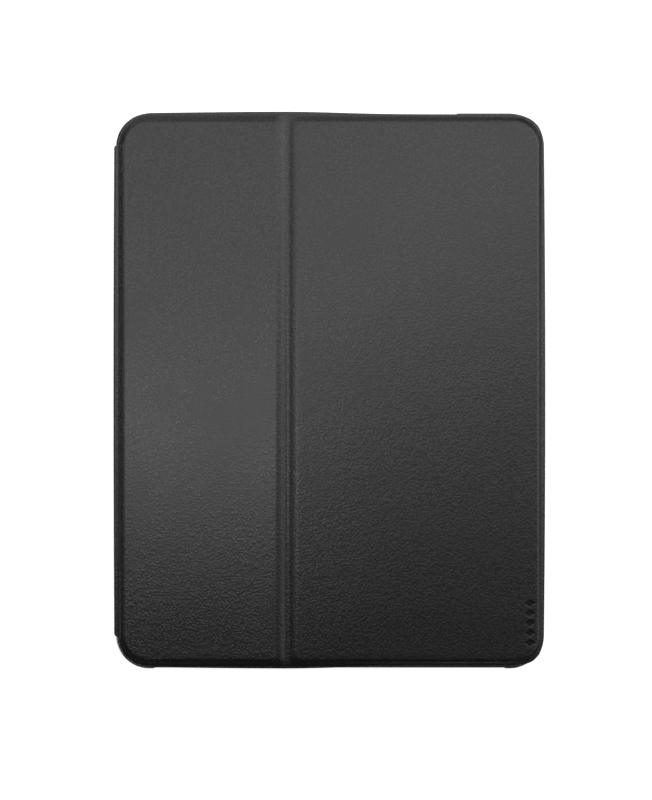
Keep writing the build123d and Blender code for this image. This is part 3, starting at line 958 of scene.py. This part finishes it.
# the cover's lining
liningInset = 0.9 * mm  # from the leather's edge
liningSheet = {
    **frontSheet,
    "Right": coverRight - liningInset,
    "Half": coverHalf - liningInset,
    "Left Corner": 16.1 * mm,
    "Right Corner": 16.1 * mm,
    "Direction": -1.0,
    "Thickness": 0.32 * mm,
    "Edge Roll": 0.15 * mm,
    "Line Depth": 0.06 * mm,
    "Line Inset": 1.3 * mm,
    "Rim Fall": 0.0,
    "Fold Depth": 0.0,
    "Pad Height": 0.08 * mm,
    "Fold Slope Out": 1.4 * mm,
    "Slope Out": 0.9 * mm,
    "Slope In": 0.3 * mm,
    "Crown": 0.0,
    "Waviness": 0.04 * mm,
    "Crease Depth": 0.0,
    "Mark Count": 0.0,
    "Mark Depth": 0.0,
    "Material": microfibre,
}
lining = doubleSheet(
    "coverLining",
    outlineOf(liningSheet, dense=foldStations),
    [],
    [outlineOf(liningSheet, v * mm, dense=foldStations) for v in (0.06, 0.15, 0.9, 1.3, 1.7)]
    + boardLoops(liningSheet, [v * mm for v in (-0.3, 0.0, 0.3, 0.6, 0.9)]),
    boardFill(liningSheet, 6 * mm) + grooveFill(coverHalf - 3.2 * mm),
)
lining.data.flip_normals()
runTree(lining, sheetTree, liningSheet)
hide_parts("narrow_lining", "fold_lining", "wide_lining")
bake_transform(lining)
print("cover lining:", len(lining.data.vertices), "points")

# the leather of the back, with the camera's window
backSheet = {
    **sheetInputs,
    "Left": backLow.x,
    "Right": backHigh.x,
    "Half": backHigh.y,
    "Left Corner": 15 * mm,
    "Right Corner": 15 * mm,
    "Base Height": backHigh.z,
    "Direction": -1.0,
    "Thickness": 0.58 * mm,
    "Edge Roll": 0.3 * mm,
    "Line Inset": 1.0 * mm,
    "Line Depth": 0.05 * mm,
    "Narrow Left": backBoardLow.x,
    "Narrow Right": backBoardHigh.x,
    "Wide Left": backBoardLow.x,
    "Wide Right": backBoardHigh.x,
    "Board Half": backBoardHigh.y,
    "Outer Board Corner": 12 * mm,
    "Fold Board Corner": 12 * mm,
    "Pad Height": 0.12 * mm,
    "Slope Out": 0.9 * mm,
    "Slope In": 0.6 * mm,
    "Fold Slope Out": 0.9 * mm,
    "Crease Half": 126.3 * mm,
    "Window X": windowX,
    "Window Y": windowY,
    "Window Half": windowHalf + 0.15 * mm,
    "Window Corner": windowCorner + 0.15 * mm,
    "Material": frontLeather,
}


def windowLoop(values, grow=0.0):
    half = values["Window Half"]
    corner = values["Window Corner"]
    loop = roundLoop(-half, half, half, corner, corner, grow, 2.5 * mm)
    return [(x + values["Window X"], y + values["Window Y"]) for x, y in loop]


def floorFill(values, step, margin=2.4 * mm):
    # points clear of the outline and of the camera's window
    points = gridPoints(values["Left"], values["Right"], values["Half"], step)
    inside = outlineDistance(
        points, values["Left"], values["Right"], values["Half"], values["Left Corner"], values["Right Corner"]
    )
    moved = np.array(points) - (values["Window X"], values["Window Y"])
    half, corner = values["Window Half"], values["Window Corner"]
    fromWindow = outlineDistance(moved, -half, half, half, corner, corner)
    return [p for p, a, b in zip(points, inside, fromWindow) if a < -margin and b > margin]


backInsets = [v * mm for v in (0.06, 0.15, 0.3, 0.8, 1.0, 1.2)]
backPanel = doubleSheet(
    "backLeather",
    outlineOf(backSheet),
    [windowLoop(backSheet)],
    [loopOf(backSheet, inset) for loopOf in (outlineOf, windowLoop) for inset in backInsets],
    floorFill(backSheet, 4 * mm),
)
backPanel.data.flip_normals()
runTree(backPanel, sheetTree, backSheet)
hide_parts("back_skin")
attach(backPanel, "case_back")
print("back leather:", len(backPanel.data.vertices), "points")

# the microfibre on the tray's floor
floorSheet = {
    **sheetInputs,
    "Left": padLow.x,
    "Right": padHigh.x,
    "Half": padHigh.y,
    "Left Corner": 14.7 * mm,
    "Right Corner": 14.7 * mm,
    "Base Height": padLow.z,
    "Thickness": padHigh.z - padLow.z,
    "Edge Roll": 0.15 * mm,
    "Pad Height": 0.0,
    "Crease Half": 0.0,
    "Window X": windowX,
    "Window Y": windowY,
    "Window Half": windowHalf + 0.15 * mm,
    "Window Corner": windowCorner + 0.15 * mm,
    "Material": microfibre,
}
floorInsets = [v * mm for v in (0.05, 0.15, 0.4)]
floorPad = doubleSheet(
    "trayFloorLining",
    outlineOf(floorSheet),
    [windowLoop(floorSheet)],
    [loopOf(floorSheet, inset) for loopOf in (outlineOf, windowLoop) for inset in floorInsets],
    floorFill(floorSheet, 5 * mm),
)
runTree(floorPad, sheetTree, floorSheet)
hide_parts("floor_pad")
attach(floorPad, "case_back")


# the spine's leather, in an upper and a lower half, each bent round its crease

spineMiddle = (spineLow.z + spineHigh.z) / 2
spineSide = {
    "roundRadius": 1.4 * mm,
    "leather": 0.7 * mm,
    "sideHalf": 124.3 * mm,  # the ends are cut on a slant
    "seamHalf": 126.3 * mm,
    "seamReach": 2.7 * mm,  # from the spine's face in to the seam
    "liningHalf": 124.0 * mm,
    "bow": 0.35 * mm,
    "step": 2 * mm,
    "upperTop": rimTop - 0.35 * mm,
    "grooveTop": rimTop - 0.62 * mm,
}


def arcPoints(middleX, middleZ, radius, fromAngle, toAngle, count):
    angles = np.linspace(math.radians(fromAngle), math.radians(toAngle), count)
    return [(middleX + radius * math.cos(a), middleZ + radius * math.sin(a)) for a in angles]


def easePoints(start, end, count):
    # a soft step from one point to another, level at both ends
    t = np.linspace(0, 1, count + 1)[1:]
    s = t * t * (3 - 2 * t)
    return [(start[0] + (end[0] - start[0]) * a, start[1] + (end[1] - start[1]) * b) for a, b in zip(t, s)]


def sweepPiece(name, outside, inside, halfAt, bow, material):
    # a strip with that profile, swept along Y, its two faces with equally many points
    count = len(outside)
    ring = outside + inside[::-1]
    longest = max(halfAt(x) for x, z in ring)
    stations = np.linspace(-1, 1, 2 * round(longest / spineSide["step"]) + 1)
    points, faces = [], []
    for s in stations:
        for x, z in ring:
            half = halfAt(x)
            outward = max(0.0, min(1.0, (sheetLeft - x) / spineSide["seamReach"]))
            points.append((x + bow * s * s * outward, s * half, z))
    size = len(ring)
    for i in range(len(stations) - 1):
        for j in range(size):
            a, b = i * size + j, i * size + (j + 1) % size
            faces.append([a, b, b + size, a + size])
    last = (len(stations) - 1) * size
    for j in range(count - 1):
        k = size - 1 - j
        faces.append([j, k, k - 1, j + 1])
        faces.append([last + j, last + j + 1, last + k - 1, last + k])
    piece = meshPiece(name, points, faces)
    piece.data.materials.append(material)
    volume = 0.0
    mesh = piece.data
    mesh.calc_loop_triangles()
    for t in mesh.loop_triangles:
        a, b, c = (mesh.vertices[i].co for i in t.vertices)
        volume += a.dot(b.cross(c))
    if volume < 0:
        mesh.flip_normals()
    mesh.set_sharp_from_angle(angle=math.radians(50))
    keepPlace(piece)
    return piece


def sideHalfAt(x):
    # longer towards the cover and the back
    share = max(0.0, min(1.0, (x - spineLow.x) / spineSide["seamReach"]))
    return spineSide["sideHalf"] + (spineSide["seamHalf"] - spineSide["sideHalf"]) * share


radius, thick = spineSide["roundRadius"], spineSide["leather"]
roundX = spineLow.x + radius
sideX = spineLow.x
topZ = spineSide["upperTop"]
sideSteps = list(np.linspace(spineMiddle, topZ - radius, 9))[:-1]
upperOut = [(sideX, z) for z in sideSteps] + arcPoints(roundX, topZ - radius, radius, 180, 90, 12)
upperOut += easePoints(upperOut[-1], (sheetLeft, spineSide["grooveTop"]), 6)
upperIn = [(sideX + thick, z) for z in sideSteps]
upperIn += arcPoints(roundX, topZ - radius, radius - thick, 180, 90, 12)
upperIn += easePoints(upperIn[-1], (sheetLeft, liningTop), 6)
spineUpper = sweepPiece(
    "spineLeatherUpper", upperOut, upperIn, sideHalfAt, spineSide["bow"], frontLeather
)
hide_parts("front_crease", "spine_skin")
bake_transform(spineUpper)

sideSteps = list(np.linspace(spineMiddle, radius, 9))[:-1]
lowerOut = [(sideX, z) for z in sideSteps] + arcPoints(roundX, radius, radius, 180, 270, 12)
lowerOut += easePoints(lowerOut[-1], (sheetLeft, 0.12 * mm), 6)
lowerIn = [(sideX + thick, z) for z in sideSteps] + arcPoints(roundX, radius, radius - thick, 180, 270, 12)
lowerIn += easePoints(lowerIn[-1], (sheetLeft, backHigh.z), 6)
spineLower = sweepPiece(
    "spineLeatherLower", lowerOut, lowerIn, sideHalfAt, spineSide["bow"], frontLeather
)
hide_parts("back_crease")
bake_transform(spineLower)

# the spine's lining, up its inner face and round onto the cover's
liningX = spineLiningLow.x
liningThick = spineLiningHigh.x - spineLiningLow.x
turn = 0.5 * mm
turnX, turnZ = liningX + turn, liningTop - turn
sideSteps = list(np.linspace(spineLiningLow.z, turnZ, 12))[:-1]
linedOut = [(liningX, z) for z in sideSteps] + arcPoints(turnX, turnZ, turn, 180, 90, 8)
linedOut += easePoints(linedOut[-1], (sheetLeft, liningTop), 4)
linedIn = [(liningX + liningThick, z) for z in sideSteps]
linedIn += arcPoints(turnX, turnZ, turn - liningThick, 180, 90, 8)
linedIn += easePoints(linedIn[-1], (sheetLeft, liningTop - 0.32 * mm), 4)


spineLining = sweepPiece("spineLining", linedOut, linedIn, lambda x: spineSide["liningHalf"], 0.0, microfibre)
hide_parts("spine_lining", "front_crease_lining")
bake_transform(spineLining)

print("spine pieces are made")


# the floor, the lights and the camera

studio = {
    "floorHalf": 20.0,
    "floorHeight": -0.0004,
    "floorColor": (0.86, 0.86, 0.86),
    "floorGlow": 0.75,
    "glowFrom": 0.4,
    "glowTo": 2.5,  # the distance at which the floor is fully pale
    "horizonLight": 0.12,
    "skyLight": 0.04,
    "bandLow": 0.28,  # where the pale band along the horizon starts to fade, and where it ends
    "bandHigh": 0.5,
    "skySeen": 1.0,
}


def makeFloor():
    half, height = studio["floorHalf"], studio["floorHeight"]
    corners = [(-half, -half, height), (half, -half, height), (half, half, height), (-half, half, height)]
    floor = meshPiece("paleFloor", corners, [[0, 1, 2, 3]], False)
    material, tree, shader = newMaterial("paleFloorMatte", roughness=0.9, viewColor=(0.9, 0.9, 0.9))
    shader.inputs["Base Color"].default_value = (*studio["floorColor"], 1)
    shader.inputs["Specular IOR Level"].default_value = 0.0
    shader.inputs["Emission Color"].default_value = (1, 1, 1, 1)
    place = tree.nodes.new("ShaderNodeTexCoord").outputs["Object"]
    reach = vectorOf("LENGTH", place)
    glow = rampOf(reach, studio["glowFrom"], studio["glowTo"], studio["floorGlow"], 1.0, "LINEAR")
    feed(shader.inputs["Emission Strength"], glow)
    floor.data.materials.append(material)


def areaLight(name, place, target, sizeX, sizeY, radiance, turn=0.0):
    # with no target it faces straight down, turned about the vertical
    data = bpy.data.lights.new(name, "AREA")
    data.shape = "RECTANGLE"
    data.size, data.size_y = sizeX, sizeY
    data.energy = radiance * math.pi * sizeX * sizeY
    light = bpy.data.objects.new(name, data)
    bpy.context.scene.collection.objects.link(light)
    light.location = place
    if target is None:
        light.rotation_euler = (0, 0, turn)
    else:
        light.rotation_euler = (Vector(target) - Vector(place)).to_track_quat("-Z", "Y").to_euler()
    light.visible_camera = False
    return light


def makeSky():
    world = bpy.data.worlds.new("paleRoom")
    world.use_nodes = True
    tree = world.node_tree
    background = tree.nodes["Background"]
    lit = tree.nodes.new("ShaderNodeBackground")
    lit.inputs["Strength"].default_value = studio["skySeen"]
    lit.inputs["Color"].default_value = (1, 1, 1, 1)
    background.inputs["Color"].default_value = (1, 1, 1, 1)
    # a pale band along the horizon, and a dark room above it
    direction = tree.nodes.new("ShaderNodeTexCoord").outputs["Generated"]
    split = tree.nodes.new("ShaderNodeSeparateXYZ")
    feed(split.inputs[0], direction)
    fade = [studio[label] for label in ("bandLow", "bandHigh", "horizonLight", "skyLight")]
    band = rampOf(split.outputs["Z"], *fade)
    feed(background.inputs["Strength"], band)
    path = tree.nodes.new("ShaderNodeLightPath")
    mix = tree.nodes.new("ShaderNodeMixShader")
    feed(mix.inputs["Fac"], path.outputs["Is Camera Ray"])
    feed(mix.inputs[1], background.outputs[0])
    feed(mix.inputs[2], lit.outputs[0])
    feed(tree.nodes["World Output"].inputs["Surface"], mix.outputs[0])
    bpy.context.scene.world = world


makeFloor()
makeSky()
# a wide softbox overhead, whose lower right edge crosses the cover on a slant, in front of a dim ceiling
edgeFrom, edgeTo = Vector((-0.04, -0.046)), Vector((0.328, 0.138))
along = (edgeTo - edgeFrom).normalized()
outward = Vector((-along.y, along.x))
boxWidth, boxDepth = 1.85, 1.15
middle = (edgeFrom + edgeTo) / 2 + along * 0.075 + outward * boxDepth / 2
softboxTurn = math.atan2(along.y, along.x)
areaLight("overheadSoftbox", (middle.x, middle.y, 1.262), None, boxWidth, boxDepth, 0.76, softboxTurn)
# each lamp's place, what it faces (None is straight down), width, depth and radiance
lamps = {
    "dimCeiling": ((0, 0.97, 1.26), None, 4.0, 2.4, 0.45),
    "wholeCeiling": ((0, 0.8, 1.28), None, 2.6, 2.7, 0.10),
    "brightStrip": ((-0.30, -0.075, 1.25), None, 0.34, 0.15, 2.7),
    "upperGlow": ((0.17, 0.24, 1.24), None, 0.5, 0.34, 0.42),
    "rightCard": ((1.3, 0.0, 1.24), None, 1.2, 2.4, 0.65),
    "rightCardUpper": ((1.2, 0.5, 1.23), None, 1.2, 1.1, 0.5),
    "backWindow": ((-0.8, 2.6, 1.1), (0, 0, 0), 3.0, 1.2, 0.5),
    "rightWindow": ((2.6, 0.2, 1.1), (0, 0, 0), 2.6, 1.2, 0.3),
}
for lampName, values in lamps.items():
    areaLight(lampName, *values)
# a small lamp that only the glossy tray sees, at its lower left corner
cornerLamp = areaLight("cornerLamp", (-1.9, -0.95, 0.45), (-0.108, -0.14, 0), 1.0, 0.4, 16.0)
trayOnly = bpy.data.collections.new("trayOnly")
trayOnly.objects.link(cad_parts["tray_shell"])
cornerLamp.light_linking.receiver_collection = trayOnly

camera = bpy.data.objects.new("coverCamera", bpy.data.cameras.new("coverCamera"))
bpy.context.scene.collection.objects.link(camera)
camera.location = (-1.64 * mm, -4.66 * mm, rimTop + 0.62)
camera.rotation_euler = (0, 0, 0)
camera.data.sensor_width = 36
camera.data.lens = 54.65
bpy.context.scene.camera = camera
bpy.context.scene.view_settings.view_transform = "Standard"
